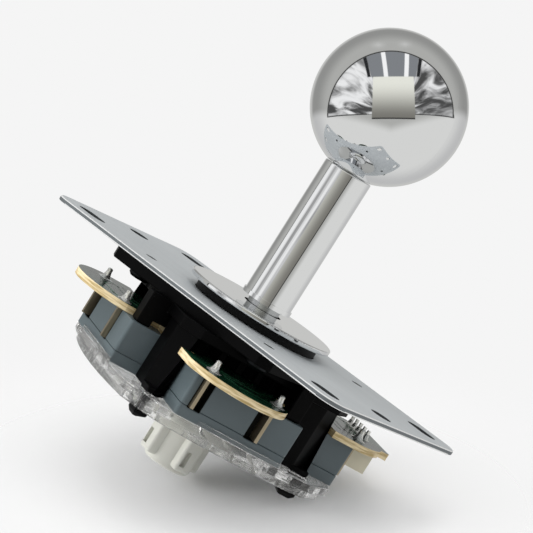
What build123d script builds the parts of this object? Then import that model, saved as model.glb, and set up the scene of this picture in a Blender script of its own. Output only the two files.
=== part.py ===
from build123d import *
import math
import os

os.makedirs("parts", exist_ok=True)

# Frame: the origin is the centre of the mounting plate's top face, +Z runs up the lever,
# X along the long side of the plate. Heights below the plate are negative. All sizes are millimetres.

# Mounting plate
plate_length = 95.0
plate_width = 53.0
plate_thick = 1.2
plate_corner_r = 5.0
plate_edge_r = 0.35
slot_edge_x = 8.0
slot_edge_y = 6.5
slot_width = 4.3
slot_length = 7.5
mid_hole_edge = 6.0
mid_hole_r = 2.4

# Screws that hold the housing flange under the plate
screw_edge_x = 6.5
screw_edge_y = 6.5
screw_r = 1.25
screw_head_r = 2.6
screw_head_height = 1.6
screw_recess = 0.1
screw_gap = 0.05

# Housing: flange under the plate, lower tier, ribbed barrel, four pillars with snap hooks
body_turn = -29.0  # the switch block stands turned by this angle against the plate
flange_length = 53.0
flange_width = 49.0
flange_thick = 2.8
flange_chamfer = 2.5
neck_r = 15.2
neck_gap = 0.2
neck_drop = 0.05
tier_half = 22.6
tier_corner_cut = 4.0
tier_thick = 2.5
barrel_r = 16.6
barrel_rib_depth = 1.3
barrel_rib_width = 1.5
barrel_rib_count = 24
cavity_r = 13.2
pillar_inner = 10.7
pillar_outer = 20.6
pillar_near = 18.0
pillar_far = 22.0
pillar_slant_out = 16.0
pillar_slant_far = 18.3
pillar_foot = 1.1
hook_inner = 16.0
hook_thick = 1.7
hook_nose = 1.5
hook_nose_height = 2.1
hook_nose_step = 0.9
hook_gap = 0.25

# Lever geometry
pivot_height = -5.5
tilt_limit = 7.5
shaft_r = 4.0
shaft_step_r = 3.0
shaft_thread_length = 10.0
shaft_fit = 0.05
shaft_end_chamfer = 0.6
ball_r = 17.5
ball_height = 55.8
ball_thread_depth = 11.5
cover_r = 5.8
cover_fit = 0.08
cover_collar_r = 6.1
cover_collar_height = 1.0
cover_bottom = 4.7
cover_ball_gap = 0.2
cover_edge_r = 0.3

# Dust washer and the seal ring below it
washer_r = 17.9
washer_thick = 1.2
washer_hole_r = 4.7
washer_edge_r = 0.35
seal_r = 15.4
seal_hole_r = 7.0
seal_thick = 1.85
slide_gap = 0.1

# Spherical pivot
pivot_ball_r = 8.0
socket_fit = 0.15
pivot_top = 6.2
pivot_waist = 5.0
pivot_skirt_r = 9.5
pivot_skirt_thick = 1.8
socket_lip_r = 6.2
socket_mouth_r = 8.6
socket_skirt = 2.8

# Spring and its seat
spring_mean_r = 6.2
spring_wire_r = 0.5
spring_length = 12.2
spring_turns = 5.0
spring_wire_sides = 6
seat_r = 6.8
seat_thick = 1.0

# Actuator
cup_wall = 1.3
cup_inner_r = 7.3
contact_r = 10.4
contact_top = -14.4
contact_bottom = -18.2
cup_cone_bottom = -20.5
foot_bottom = -37.9
foot_half = 5.7
foot_corner_r = 1.3
foot_edge_r = 0.8
foot_slot_width = 1.7
foot_slot_height = 3.2
foot_slot_offset = 1.6
foot_slot_depth = 1.4
foot_slot_bottom = -36.0
clip_recess_r = 4.7
clip_recess_depth = 1.8
clip_r = 4.4
clip_thick = 0.8
clip_groove_r = 2.3
clip_slot = 2.6
clip_lobe_r = 1.1
clip_clearance = 0.3
clip_fit = 0.1

# Circuit board
board_top = -9.9
board_thick = 1.6
board_bore_r = 14.5
lobe_near = 4.5
lobe_far = -20.8
lobe_near_reach = 29.4
lobe_far_reach = 28.6
lobe_reach = 38.2
lobe_middle = -10.0
connector_tab_margin = 2.9
board_gap = 0.5

# Switches
switch_length = 27.8
switch_depth = 15.9
switch_height = 10.2
switch_face = 29.0
switch_centre = -3.8
switch_gap = 0.1
switch_edge_r = 0.7
cover_part_height = 2.7
peg_r = 1.5
peg_fit = 0.1
peg_far_along = -14.9
peg_far_out = 15.8
peg_near_along = 7.3
peg_near_out = 26.1
peg_boss_r = 2.3
peg_end_gap = 0.6
clip_block_width = 3.6
clip_block_depth = 3.4
pocket_width = 3.2
pocket_depth = 2.4
pocket_bottom = -19.4
pocket_shift = 1.0
case_gap = 0.05
blade_thick = 0.8
blade_proud = 1.1
blade_first = -15.3
blade_second = 1.5
blade_bottom = -19.1
solder_pin_width = 1.0
solder_pin_top = -7.6
solder_r = 1.35
solder_height = 1.1
solder_taper = 32.0
header_solder_r = 1.0
header_solder_height = 0.9
pin_hole_gap = 0.15

# Plungers
plunger_width = 3.0
plunger_height = 2.4
plunger_middle = -16.2
plunger_proud = 1.5
plunger_length = 5.4
plunger_channel = 5.2
plunger_fit = 0.05
plunger_end_r = 0.5

# Connector header
header_gap = 1.6
header_along = -5.5
header_length = 15.0
header_depth = 6.0
header_height = 5.2
header_wall = 0.9
header_floor = 1.2
header_pin_count = 5
header_pin_pitch = 2.5
header_pin_size = 0.64
header_pin_up = 2.2
header_pin_down = 4.0
header_notch_width = 3.0
header_notch_height = 2.0

# Restrictor gate
gate_plate_thick = 1.8
gate_half = 27.6
gate_bulge = 2.6
gate_corner = 20.5
gate_wall = 1.3
gate_wall_height = 3.7
gate_rim_height = 5.2
gate_stop_gap = 0.3
gate_rib_thick = 1.0
gate_rib_step = 6.0
gate_lip_height = 1.2
gate_lip_gap = 0.3
gate_wall_inset = 1.4
gate_open_corner_r = 2.0

# Heights and sizes that follow from the driving ones
slot_pitch_x = plate_length - 2 * slot_edge_x
slot_pitch_y = plate_width - 2 * slot_edge_y
mid_hole_pitch = plate_length - 2 * mid_hole_edge
screw_pitch_x = flange_length - 2 * screw_edge_x
screw_pitch_y = flange_width - 2 * screw_edge_y
plate_bottom = -plate_thick
flange_bottom = plate_bottom - flange_thick
tier_bottom = flange_bottom - tier_thick
board_bottom = board_top - board_thick
barrel_bottom = board_top + switch_gap
switch_top = board_bottom - switch_gap
switch_bottom = switch_top - switch_height
case_split = switch_bottom + cover_part_height
switch_back = switch_face - switch_depth
gate_top = switch_bottom - switch_gap
gate_plate_bottom = gate_top - gate_plate_thick
gate_wall_bottom = gate_top - gate_wall_height
gate_rim_bottom = gate_top - gate_rim_height
hook_catch = gate_wall_bottom - hook_gap
hook_bottom = hook_catch - hook_nose_height
hook_middle = (hook_inner + pillar_outer) / 2
hook_width = pillar_outer - hook_inner
hook_arm_along = -pillar_far + hook_thick / 2
pillar_bottom = gate_top + switch_gap
skirt_top = pivot_height - pivot_waist
skirt_bottom = skirt_top - pivot_skirt_thick
spring_bottom = skirt_bottom - spring_length
seat_bottom = spring_bottom - seat_thick
cup_outer_r = cup_inner_r + cup_wall
cup_bottom = seat_bottom - cup_wall
clip_top = foot_bottom + clip_recess_depth
shaft_end = foot_bottom + screw_recess
ball_flat_r = cover_r
ball_flat = ball_height - math.sqrt(ball_r**2 - ball_flat_r**2)
cover_top = ball_flat - cover_ball_gap
seal_bottom = slide_gap
washer_bottom = seal_bottom + seal_thick + slide_gap
tilt = math.radians(tilt_limit)
gate_open_half = (
    cup_outer_r / math.cos(tilt)
    + (pivot_height - gate_rim_bottom) * math.tan(tilt)
    + gate_stop_gap
)
header_out = switch_face + header_gap + header_depth / 2
connector_tab_reach = header_out + header_depth / 2 + connector_tab_margin
quarter_turns = [0, 1, 2, 3]


def level(height, turn=0.0):
    """A horizontal plane at a height, turned about the lever's axis."""
    return Plane.XY.rotated((0, 0, turn)).offset(height)


def face_turn(quarter):
    """The turn of one of the four switch sides."""
    return body_turn + 90.0 * quarter


def gate_outline(inset):
    """The gate's outline: four bulged sides joined by cut corners, taken in by an inset."""
    with BuildSketch() as outline:
        with BuildLine():
            for quarter in quarter_turns:
                start, middle, end, corner = [
                    Vector(out, along).rotate(Axis.Z, 90 * quarter)
                    for out, along in (
                        (gate_half, -gate_corner),
                        (gate_half + gate_bulge, 0),
                        (gate_half, gate_corner),
                        (gate_corner, gate_half),
                    )
                ]
                ThreePointArc(start, middle, end)
                Line(end, corner)
        make_face()
        if inset:
            offset(amount=-inset, kind=Kind.INTERSECTION)
    return outline.sketch


def write(part, name):
    part.label = name
    export_step(part, f"parts/{name}.step")


# Mounting plate: rounded sheet with slotted corners and two middle holes
with BuildPart() as mounting_plate:
    with BuildSketch(level(plate_bottom)):
        RectangleRounded(plate_length, plate_width, plate_corner_r)
    extrude(amount=plate_thick)
    fillet(mounting_plate.edges().group_by(Axis.Z)[-1], plate_edge_r)
    with BuildSketch(level(plate_bottom)):
        Circle(neck_r + neck_gap)
        with GridLocations(slot_pitch_x, slot_pitch_y, 2, 2):
            SlotOverall(slot_length, slot_width)
        with GridLocations(mid_hole_pitch, 0, 2, 1):
            Circle(mid_hole_r)
        with GridLocations(screw_pitch_x, screw_pitch_y, 2, 2):
            Circle(screw_r + screw_gap)
    extrude(amount=plate_thick, mode=Mode.SUBTRACT)
write(mounting_plate.part, "mounting_plate")

# Plate screws: four pan heads under the flange, threaded up into the plate
with BuildPart() as plate_screws:
    with BuildSketch(level(flange_bottom - screw_head_height)):
        with GridLocations(screw_pitch_x, screw_pitch_y, 2, 2):
            Circle(screw_head_r)
    extrude(amount=screw_head_height)
    chamfer(plate_screws.edges().group_by(Axis.Z)[0], screw_head_height / 3)
    with BuildSketch(level(flange_bottom)):
        with GridLocations(screw_pitch_x, screw_pitch_y, 2, 2):
            Circle(screw_r)
    extrude(amount=-flange_bottom - screw_recess)
write(plate_screws.part, "plate_screws")

# Housing: flange, lower tier, ribbed barrel with the ball socket, pillars, hooks and pegs
with BuildPart() as body_housing:
    with BuildSketch(level(flange_bottom)):
        flange_outline = Rectangle(flange_length, flange_width)
        chamfer(flange_outline.vertices(), flange_chamfer)
    extrude(amount=flange_thick)
    with BuildSketch(level(plate_bottom)):
        Circle(neck_r)
    extrude(amount=plate_thick - neck_drop)
    with BuildSketch(level(tier_bottom, body_turn)):
        tier_outline = Rectangle(2 * tier_half, 2 * tier_half)
        chamfer(tier_outline.vertices(), tier_corner_cut)
    extrude(amount=tier_thick)
    with BuildSketch(level(barrel_bottom, body_turn)):
        Circle(barrel_r)
        with PolarLocations(barrel_r, barrel_rib_count):
            Rectangle(2 * barrel_rib_depth, barrel_rib_width)
    extrude(amount=tier_bottom - barrel_bottom)
    for quarter in quarter_turns:
        turn = face_turn(quarter)
        # pillar beside the switch, with a broad slanted face, down to the gate
        with BuildSketch(level(pillar_bottom, turn)):
            with BuildLine():
                Polyline(
                    (pillar_inner, -pillar_near),
                    (pillar_outer, -pillar_near),
                    (pillar_outer, -pillar_slant_far),
                    (pillar_slant_out, -pillar_far),
                    (pillar_inner, -pillar_far),
                    close=True,
                )
            make_face()
        extrude(amount=tier_bottom - pillar_bottom)
        with BuildSketch(level(pillar_bottom, turn)):
            with Locations(((pillar_inner + pillar_outer) / 2, -(pillar_near + pillar_far) / 2)):
                Rectangle(pillar_outer - pillar_inner, pillar_far - pillar_near)
        extrude(amount=pillar_foot)
        # boss and peg at the far end of the switch
        with BuildSketch(level(barrel_bottom, turn)):
            with Locations((peg_far_out, peg_far_along)):
                Circle(peg_boss_r)
        extrude(amount=tier_bottom - barrel_bottom)
        # arm and clip block that reach past the board to the near end of the switch
        with BuildSketch(level(barrel_bottom, turn)):
            with Locations(((barrel_r + peg_near_out) / 2, peg_near_along)):
                Rectangle(peg_near_out - barrel_r + clip_block_depth, clip_block_width)
        extrude(amount=flange_bottom - barrel_bottom)
        with BuildSketch(level(switch_top + switch_gap, turn)):
            with Locations((peg_near_out, peg_near_along)):
                Rectangle(clip_block_depth, clip_block_width)
        extrude(amount=barrel_bottom - switch_top - switch_gap)
        for out, along in ((peg_far_out, peg_far_along), (peg_near_out, peg_near_along)):
            with BuildSketch(level(switch_bottom + peg_end_gap, turn)):
                with Locations((out, along)):
                    Circle(peg_r)
            extrude(amount=barrel_bottom - switch_bottom - peg_end_gap)
        # snap hook: the arm runs on below the pillar, its nose turns in under the gate's wall
        with BuildSketch(level(hook_catch - hook_nose_height + hook_nose_step, turn)):
            with Locations((hook_middle, hook_arm_along)):
                Rectangle(hook_width, hook_thick)
        extrude(amount=pillar_bottom - hook_catch + hook_nose_height - hook_nose_step)
        with BuildSketch(level(hook_catch - hook_nose_height + hook_nose_step, turn)):
            with Locations((hook_middle, hook_arm_along + hook_nose / 2)):
                Rectangle(hook_width, hook_thick + hook_nose)
        extrude(amount=hook_nose_height - hook_nose_step)
        with BuildSketch(level(hook_catch - hook_nose_height + hook_nose_step, turn)):
            with Locations((hook_middle, hook_arm_along + hook_nose / 2)):
                Rectangle(hook_width, hook_thick + hook_nose)
        with BuildSketch(level(hook_bottom, turn)):
            with Locations((hook_middle, hook_arm_along)):
                Rectangle(hook_width - 2 * hook_nose_step, hook_thick - hook_nose_step)
        loft()
    # openings for the pivot, from the mouth down to the cavity
    with BuildSketch(Plane.XZ):
        with BuildLine():
            lip_height = pivot_height + math.sqrt((pivot_ball_r + socket_fit) ** 2 - socket_lip_r**2)
            socket_r = pivot_ball_r + socket_fit
            Polyline(
                (0, 0),
                (socket_mouth_r, 0),
                (socket_lip_r, lip_height),
            )
            RadiusArc((socket_lip_r, lip_height), (socket_r, pivot_height), socket_r)
            Polyline(
                (socket_r, pivot_height),
                (socket_r, pivot_height - socket_skirt),
                (cavity_r, pivot_height - socket_skirt),
                (cavity_r, barrel_bottom),
                (0, barrel_bottom),
                (0, 0),
            )
        make_face()
    revolve(axis=Axis.Z, mode=Mode.SUBTRACT)
    with BuildSketch(level(flange_bottom)):
        with GridLocations(screw_pitch_x, screw_pitch_y, 2, 2):
            Circle(screw_r + screw_gap)
    extrude(amount=flange_thick, mode=Mode.SUBTRACT)
    with BuildSketch(level(barrel_bottom)):
        with GridLocations(screw_pitch_x, screw_pitch_y, 2, 2):
            Circle(screw_head_r + board_gap)
    extrude(amount=flange_bottom - barrel_bottom, mode=Mode.SUBTRACT)
write(body_housing.part, "body_housing")


# Circuit board: four lobes in a pinwheel, notched round the pillars
with BuildPart() as circuit_board:
    for quarter in quarter_turns:
        with BuildSketch(level(board_bottom, face_turn(quarter))):
            with BuildLine():
                Polyline(
                    (lobe_near_reach, lobe_near),
                    (0, lobe_near),
                    (0, lobe_far),
                    (lobe_far_reach, lobe_far),
                )
                ThreePointArc(
                    (lobe_far_reach, lobe_far), (lobe_reach, lobe_middle), (lobe_near_reach, lobe_near)
                )
            make_face()
        extrude(amount=board_thick)
    with BuildSketch(level(board_bottom, face_turn(1))):
        with Locations(((lobe_near_reach + connector_tab_reach) / 2, header_along)):
            RectangleRounded(
                connector_tab_reach - lobe_near_reach, header_length + 2 * header_wall, header_wall
            )
    extrude(amount=board_thick)
    with BuildSketch(level(board_bottom)):
        Circle(board_bore_r)
    extrude(amount=board_thick, mode=Mode.SUBTRACT)
    for quarter in quarter_turns:
        with BuildSketch(level(board_bottom, face_turn(quarter))):
            with Locations(((pillar_inner + pillar_outer) / 2, -(pillar_near + pillar_far) / 2)):
                Rectangle(
                    pillar_outer - pillar_inner + 2 * board_gap, pillar_far - pillar_near + 2 * board_gap
                )
            with Locations((peg_far_out, peg_far_along)):
                Circle(peg_r + peg_fit)
            with Locations((peg_near_out, peg_near_along)):
                Rectangle(clip_block_depth + 2 * board_gap, clip_block_width + 2 * board_gap)
            for along in (blade_first, blade_second):
                with Locations((switch_face + blade_proud - solder_pin_width / 2, along)):
                    Rectangle(solder_pin_width + 2 * pin_hole_gap, blade_thick + 2 * pin_hole_gap)
        extrude(amount=board_thick, mode=Mode.SUBTRACT)
    with BuildSketch(level(board_bottom, face_turn(1))):
        with Locations((header_out, header_along)):
            with GridLocations(0, header_pin_pitch, 1, header_pin_count):
                Rectangle(header_pin_size + 2 * pin_hole_gap, header_pin_size + 2 * pin_hole_gap)
    extrude(amount=board_thick, mode=Mode.SUBTRACT)
write(circuit_board.part, "circuit_board")

# Solder joints: a small cone round every pin on top of the board
with BuildPart() as solder_joints:
    for quarter in quarter_turns:
        with BuildSketch(level(board_top, face_turn(quarter))):
            for along in (blade_first, blade_second):
                with Locations((switch_face + blade_proud - solder_pin_width / 2, along)):
                    Circle(solder_r)
        extrude(amount=solder_height, taper=solder_taper)
        with BuildSketch(level(board_top, face_turn(quarter))):
            for along in (blade_first, blade_second):
                with Locations((switch_face + blade_proud - solder_pin_width / 2, along)):
                    Rectangle(solder_pin_width, blade_thick)
        extrude(amount=solder_height, mode=Mode.SUBTRACT)
    with BuildSketch(level(board_top, face_turn(1))):
        with Locations((header_out, header_along)):
            with GridLocations(0, header_pin_pitch, 1, header_pin_count):
                Circle(header_solder_r)
    extrude(amount=header_solder_height, taper=solder_taper)
    with BuildSketch(level(board_top, face_turn(1))):
        with Locations((header_out, header_along)):
            with GridLocations(0, header_pin_pitch, 1, header_pin_count):
                Rectangle(header_pin_size, header_pin_size)
    extrude(amount=header_solder_height, mode=Mode.SUBTRACT)
write(solder_joints.part, "solder_joints")

# Connector header under the board's longest lobe, open towards the gate
with BuildPart() as connector_header:
    with BuildSketch(level(board_bottom - header_height, face_turn(1))):
        with Locations((header_out, header_along)):
            Rectangle(header_depth, header_length)
    extrude(amount=header_height)
    with BuildSketch(level(board_bottom - header_height, face_turn(1))):
        with Locations((header_out, header_along)):
            Rectangle(header_depth - 2 * header_wall, header_length - 2 * header_wall)
    extrude(amount=header_height - header_floor, mode=Mode.SUBTRACT)
    with BuildSketch(level(board_bottom - header_height, face_turn(1))):
        with Locations((header_out + (header_depth - header_wall) / 2, header_along)):
            with GridLocations(0, 2 * header_notch_width, 1, 2):
                Rectangle(header_wall, header_notch_width)
    extrude(amount=header_notch_height, mode=Mode.SUBTRACT)
    with BuildSketch(level(board_bottom - header_floor, face_turn(1))):
        with Locations((header_out, header_along)):
            with GridLocations(0, header_pin_pitch, 1, header_pin_count):
                Rectangle(header_pin_size, header_pin_size)
    extrude(amount=header_floor, mode=Mode.SUBTRACT)
write(connector_header.part, "connector_header")

# Connector pins: five square pins through the header and the board
with BuildPart() as connector_pins:
    with BuildSketch(level(board_bottom - header_pin_down, face_turn(1))):
        with Locations((header_out, header_along)):
            with GridLocations(0, header_pin_pitch, 1, header_pin_count):
                Rectangle(header_pin_size, header_pin_size)
    extrude(amount=header_pin_down + board_thick + header_pin_up)
write(connector_pins.part, "connector_pins")

# Four switches, one on each side: case, cover, terminals and plunger
for quarter in quarter_turns:
    turn = face_turn(quarter)
    number = quarter + 1
    case_middle = ((switch_back + switch_face) / 2, switch_centre)

    with BuildPart() as switch_case:
        with BuildSketch(level(case_split, turn)):
            with Locations(case_middle):
                case_outline = Rectangle(switch_depth, switch_length)
            fillet(case_outline.vertices(), switch_edge_r)
        extrude(amount=switch_top - case_split)
        # pockets for the two terminals, open at the outer face and at the top
        with BuildSketch(level(pocket_bottom, turn)):
            for along in (blade_first + pocket_shift, blade_second - pocket_shift):
                with Locations((switch_face - pocket_depth / 2, along)):
                    Rectangle(pocket_depth, pocket_width)
        extrude(amount=switch_top - pocket_bottom, mode=Mode.SUBTRACT)
        with BuildSketch(level(case_split, turn)):
            for out, along in ((peg_far_out, peg_far_along), (peg_near_out, peg_near_along)):
                with Locations((out, along)):
                    Circle(peg_r + peg_fit)
        extrude(amount=switch_top - case_split, mode=Mode.SUBTRACT)
        # channel in which the plunger slides
        with BuildSketch(level(plunger_middle - plunger_height / 2 - plunger_fit, turn)):
            with Locations((switch_back + plunger_channel / 2, 0)):
                Rectangle(plunger_channel, plunger_width + 2 * plunger_fit)
        extrude(amount=plunger_height + 2 * plunger_fit, mode=Mode.SUBTRACT)
    write(switch_case.part, f"switch_{number}_case")

    with BuildPart() as switch_cover:
        with BuildSketch(level(switch_bottom, turn)):
            with Locations(case_middle):
                cover_outline = Rectangle(switch_depth, switch_length)
            fillet(cover_outline.vertices(), switch_edge_r)
        extrude(amount=cover_part_height - case_gap)
        with BuildSketch(level(switch_bottom, turn)):
            for out, along in ((peg_far_out, peg_far_along), (peg_near_out, peg_near_along)):
                with Locations((out, along)):
                    Circle(peg_r + peg_fit)
        extrude(amount=cover_part_height, mode=Mode.SUBTRACT)
        with BuildSketch(level(pocket_bottom, turn)):
            for along in (blade_first + pocket_shift, blade_second - pocket_shift):
                with Locations((switch_face - pocket_depth / 2, along)):
                    Rectangle(pocket_depth, pocket_width)
        extrude(amount=case_split - pocket_bottom, mode=Mode.SUBTRACT)
    write(switch_cover.part, f"switch_{number}_cover")

    # terminals: upright blades rooted in the pockets, each with a pin through the board
    with BuildPart() as switch_terminals:
        with BuildSketch(level(blade_bottom, turn)):
            for along in (blade_first, blade_second):
                with Locations((switch_face + blade_proud - (pocket_depth + blade_proud) / 2, along)):
                    Rectangle(pocket_depth + blade_proud, blade_thick)
        extrude(amount=board_bottom - blade_bottom - switch_gap)
        with BuildSketch(level(board_bottom - switch_gap, turn)):
            for along in (blade_first, blade_second):
                with Locations((switch_face + blade_proud - solder_pin_width / 2, along)):
                    Rectangle(solder_pin_width, blade_thick)
        extrude(amount=solder_pin_top - board_bottom + switch_gap)
    write(switch_terminals.part, f"switch_{number}_terminals")

    with BuildPart() as switch_plunger:
        with BuildSketch(level(plunger_middle - plunger_height / 2, turn)):
            with Locations((switch_back - plunger_proud + plunger_length / 2, 0)):
                Rectangle(plunger_length, plunger_width)
        extrude(amount=plunger_height)
        tip_direction = Vector(-1, 0, 0).rotate(Axis.Z, turn)
        tip_face = switch_plunger.faces().sort_by(Axis((0, 0, 0), tip_direction))[-1]
        fillet(tip_face.edges(), plunger_end_r)
    write(switch_plunger.part, f"switch_{number}_plunger")

# Restrictor gate: clear plate with a square opening, walls below it, ribs and hook windows
with BuildPart() as restrictor_gate:
    with BuildSketch(level(gate_plate_bottom, body_turn)):
        add(gate_outline(0))
    extrude(amount=gate_plate_thick)
    # lip that rises in front of the switch faces
    with BuildSketch(level(gate_top, body_turn)):
        add(gate_outline(0))
        Rectangle(
            2 * (switch_face + gate_lip_gap), 2 * (switch_face + gate_lip_gap), mode=Mode.SUBTRACT
        )
    extrude(amount=gate_lip_height)
    # outer wall under the plate
    with BuildSketch(level(gate_wall_bottom, body_turn)):
        add(gate_outline(gate_wall_inset))
        add(gate_outline(gate_wall_inset + gate_wall), mode=Mode.SUBTRACT)
    extrude(amount=gate_wall_height - gate_plate_thick)
    # ribs that join the outer wall to the rim round the opening
    for quarter in quarter_turns:
        with BuildSketch(level(gate_wall_bottom, face_turn(quarter))):
            for along in (-gate_rib_step, 0, gate_rib_step):
                with Locations(((gate_open_half + gate_half) / 2, along)):
                    Rectangle(gate_half - gate_open_half, gate_rib_thick)
        extrude(amount=gate_wall_height - gate_plate_thick)
        # box wall round the window for the snap hook
        with BuildSketch(level(gate_wall_bottom, face_turn(quarter))):
            with Locations((hook_middle, hook_arm_along)):
                Rectangle(
                    hook_width + 2 * (hook_gap + gate_wall), hook_thick + 2 * (hook_gap + gate_wall)
                )
        extrude(amount=gate_wall_height - gate_plate_thick)
    with BuildSketch(level(gate_rim_bottom, body_turn)):
        rim_half = gate_open_half + gate_wall
        RectangleRounded(2 * rim_half, 2 * rim_half, gate_open_corner_r + gate_wall)
    extrude(amount=gate_rim_height - gate_plate_thick)
    with BuildSketch(level(gate_rim_bottom, body_turn)):
        RectangleRounded(2 * gate_open_half, 2 * gate_open_half, gate_open_corner_r)
    extrude(amount=gate_rim_height, mode=Mode.SUBTRACT)
    for quarter in quarter_turns:
        with BuildSketch(level(gate_wall_bottom, face_turn(quarter))):
            with Locations((hook_middle, hook_arm_along)):
                Rectangle(hook_width + 2 * hook_gap, hook_thick + 2 * hook_gap)
        extrude(amount=gate_wall_height, mode=Mode.SUBTRACT)
write(restrictor_gate.part, "restrictor_gate")

# Lever shaft: stepped rod with the threaded end in the ball and a groove for the clip
with BuildPart() as lever_shaft:
    with BuildSketch(level(shaft_end)):
        Circle(shaft_step_r)
    extrude(amount=spring_bottom - shaft_end)
    with BuildSketch(level(spring_bottom)):
        Circle(shaft_r)
    extrude(amount=ball_flat - spring_bottom)
    with BuildSketch(level(ball_flat)):
        Circle(shaft_step_r)
    extrude(amount=shaft_thread_length)
    chamfer(lever_shaft.edges().group_by(Axis.Z)[-1], shaft_end_chamfer)
    with BuildSketch(level(clip_top - clip_thick - clip_fit)):
        Circle(shaft_r)
        Circle(clip_groove_r, mode=Mode.SUBTRACT)
    extrude(amount=clip_thick + clip_fit, mode=Mode.SUBTRACT)
write(lever_shaft.part, "lever_shaft")

# Ball: sphere with a small flat and a threaded hole below
with BuildPart() as ball_top:
    with BuildSketch(Plane.XZ):
        with Locations((0, ball_height)):
            Circle(ball_r)
        with Locations((0, ball_height - 2 * ball_r)):
            Rectangle(2 * ball_r, 2 * (ball_flat - ball_height + 2 * ball_r), mode=Mode.SUBTRACT)
        with Locations((-ball_r, ball_height)):
            Rectangle(2 * ball_r, 2 * ball_r, mode=Mode.SUBTRACT)
    revolve(axis=Axis.Z)
    with BuildSketch(level(ball_flat)):
        Circle(shaft_step_r + shaft_fit)
    extrude(amount=ball_thread_depth, mode=Mode.SUBTRACT)
write(ball_top.part, "ball_top")

# Shaft cover: a tube that turns freely on the shaft, with a collar at its foot
with BuildPart() as shaft_cover:
    with BuildSketch(level(cover_bottom)):
        Circle(cover_r)
    extrude(amount=cover_top - cover_bottom)
    with BuildSketch(level(cover_bottom)):
        Circle(cover_collar_r)
    extrude(amount=cover_collar_height)
    fillet(shaft_cover.edges().filter_by(GeomType.CIRCLE).group_by(Axis.Z)[-1], cover_edge_r)
    with BuildSketch(level(cover_bottom)):
        Circle(shaft_r + cover_fit)
    extrude(amount=cover_top - cover_bottom, mode=Mode.SUBTRACT)
write(shaft_cover.part, "shaft_cover")

# Dust washer: thin disc that slides over the plate with the shaft
with BuildPart() as dust_washer:
    with BuildSketch(level(washer_bottom)):
        Circle(washer_r)
    extrude(amount=washer_thick)
    fillet(dust_washer.edges().filter_by(GeomType.CIRCLE), washer_edge_r)
    with BuildSketch(level(washer_bottom)):
        Circle(washer_hole_r)
    extrude(amount=washer_thick, mode=Mode.SUBTRACT)
write(dust_washer.part, "dust_washer")

# Seal ring: black ring between the washer and the plate
with BuildPart() as seal_ring:
    with BuildSketch(level(seal_bottom)):
        Circle(seal_r)
        Circle(seal_hole_r, mode=Mode.SUBTRACT)
    extrude(amount=seal_thick)
write(seal_ring.part, "seal_ring")

# Spherical pivot: ball, waist and skirt in one moulding, bored for the shaft
with BuildPart() as spherical_pivot:
    with BuildSketch(Plane.XZ):
        with BuildLine():
            top_r = math.sqrt(pivot_ball_r**2 - pivot_top**2)
            waist_r = math.sqrt(pivot_ball_r**2 - pivot_waist**2)
            bore_r = shaft_r + shaft_fit
            flat_height = pivot_height + pivot_top
            Polyline((bore_r, skirt_bottom), (bore_r, flat_height), (top_r, flat_height))
            ThreePointArc((top_r, flat_height), (pivot_ball_r, pivot_height), (waist_r, skirt_top))
            Polyline(
                (waist_r, skirt_top),
                (pivot_skirt_r, skirt_top),
                (pivot_skirt_r, skirt_bottom),
                (bore_r, skirt_bottom),
            )
        make_face()
    revolve(axis=Axis.Z)
write(spherical_pivot.part, "spherical_pivot")

# Centring spring round the shaft, between the pivot's skirt and its seat
with BuildPart() as centering_spring:
    coil_height = spring_length - 2 * spring_wire_r - slide_gap
    with BuildLine() as coil:
        Helix(
            pitch=coil_height / spring_turns,
            height=coil_height,
            radius=spring_mean_r,
            center=(0, 0, spring_bottom + spring_wire_r + slide_gap / 2),
        )
    with BuildSketch(Plane(origin=coil.line @ 0, z_dir=coil.line % 0)):
        RegularPolygon(spring_wire_r, spring_wire_sides)
    sweep(is_frenet=True)
write(centering_spring.part, "centering_spring")

# Spring seat: a flat ring on the floor of the actuator's cup
with BuildPart() as spring_seat:
    with BuildSketch(level(seat_bottom)):
        Circle(seat_r)
        Circle(shaft_step_r + shaft_fit, mode=Mode.SUBTRACT)
    extrude(amount=seat_thick)
write(spring_seat.part, "spring_seat")

# Actuator: a cup that pushes the plungers, and a square foot that meets the gate
with BuildPart() as actuator:
    with BuildSketch(Plane.XZ):
        with BuildLine():
            Polyline(
                (0, cup_bottom),
                (cup_outer_r, cup_bottom),
                (cup_outer_r, cup_cone_bottom),
                (contact_r, contact_bottom),
                (contact_r, contact_top),
                (cup_inner_r, contact_top),
                (cup_inner_r, seat_bottom),
                (0, seat_bottom),
                close=True,
            )
        make_face()
    revolve(axis=Axis.Z)
    with BuildSketch(level(foot_bottom, body_turn)):
        RectangleRounded(2 * foot_half, 2 * foot_half, foot_corner_r)
    extrude(amount=cup_bottom - foot_bottom)
    fillet(actuator.faces().sort_by(Axis.Z)[0].edges(), foot_edge_r)
    for quarter in quarter_turns:
        with BuildSketch(level(foot_slot_bottom, face_turn(quarter))):
            with Locations((foot_half - foot_slot_depth / 2, foot_slot_offset)):
                Rectangle(foot_slot_depth, foot_slot_width)
        extrude(amount=foot_slot_height, mode=Mode.SUBTRACT)
    with BuildSketch(level(foot_bottom)):
        Circle(clip_recess_r)
    extrude(amount=clip_recess_depth, mode=Mode.SUBTRACT)
    with BuildSketch(level(foot_bottom)):
        Circle(shaft_step_r + shaft_fit)
    extrude(amount=seat_bottom - foot_bottom, mode=Mode.SUBTRACT)
write(actuator.part, "actuator")

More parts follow.
